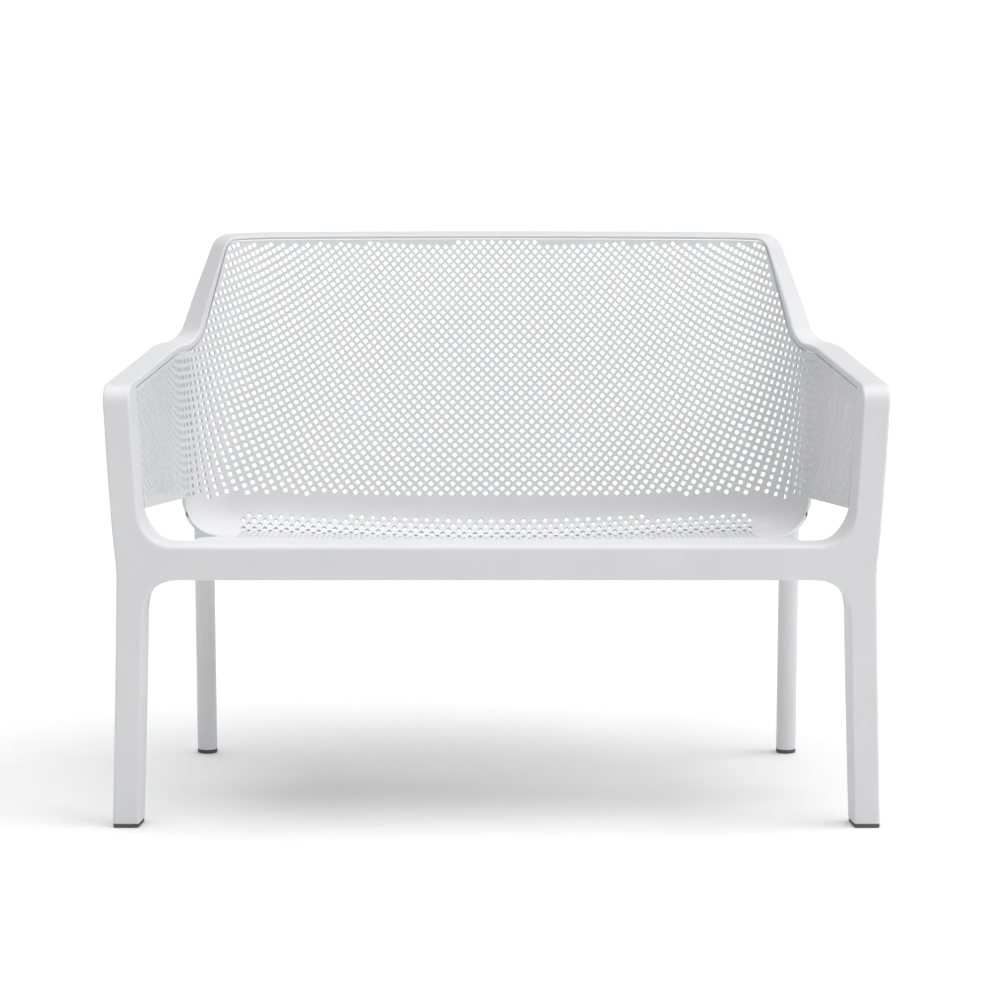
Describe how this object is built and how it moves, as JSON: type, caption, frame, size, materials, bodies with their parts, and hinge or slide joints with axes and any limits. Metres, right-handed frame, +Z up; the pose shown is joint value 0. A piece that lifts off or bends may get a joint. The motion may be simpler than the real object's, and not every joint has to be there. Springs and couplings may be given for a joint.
{
  "type": "garden bench",
  "caption": "Low-backed garden bench for two with a perforated moulded shell, flat ribbon arms, square front legs and round rear legs.",
  "frame": {"origin": "on the floor, under the middle of the bench's bounding box", "axes": "+X to the right of someone looking at the bench's front, along its length; +Y from the front legs to the back; +Z up"},
  "size_m": [1.1602, 0.636, 0.8],
  "materials": {
    "shell_plastic": "white moulded glass-fibre polypropylene, fine matte grain, perforated all over",
    "frame_plastic": "white moulded glass-fibre polypropylene, fine matte grain, unbroken surface",
    "foot_rubber": "dark grey non-slip rubber, matte"
  },
  "bodies": {
    "root": {"back_panel": "shell_plastic", "seat_panel": "shell_plastic", "side_panel_left": "shell_plastic", "side_panel_right": "shell_plastic", "back_rim": "frame_plastic", "arm_left": "frame_plastic", "arm_right": "frame_plastic", "front_leg_left": "frame_plastic", "front_leg_right": "frame_plastic", "front_beam": "frame_plastic", "rear_beam": "frame_plastic", "seat_rail_left": "frame_plastic", "seat_rail_right": "frame_plastic", "rear_leg_left": "frame_plastic", "rear_leg_right": "frame_plastic", "front_foot_cap_left": "foot_rubber", "front_foot_cap_right": "foot_rubber", "rear_foot_cap_left": "foot_rubber", "rear_foot_cap_right": "foot_rubber"}
  },
  "joints": []
}
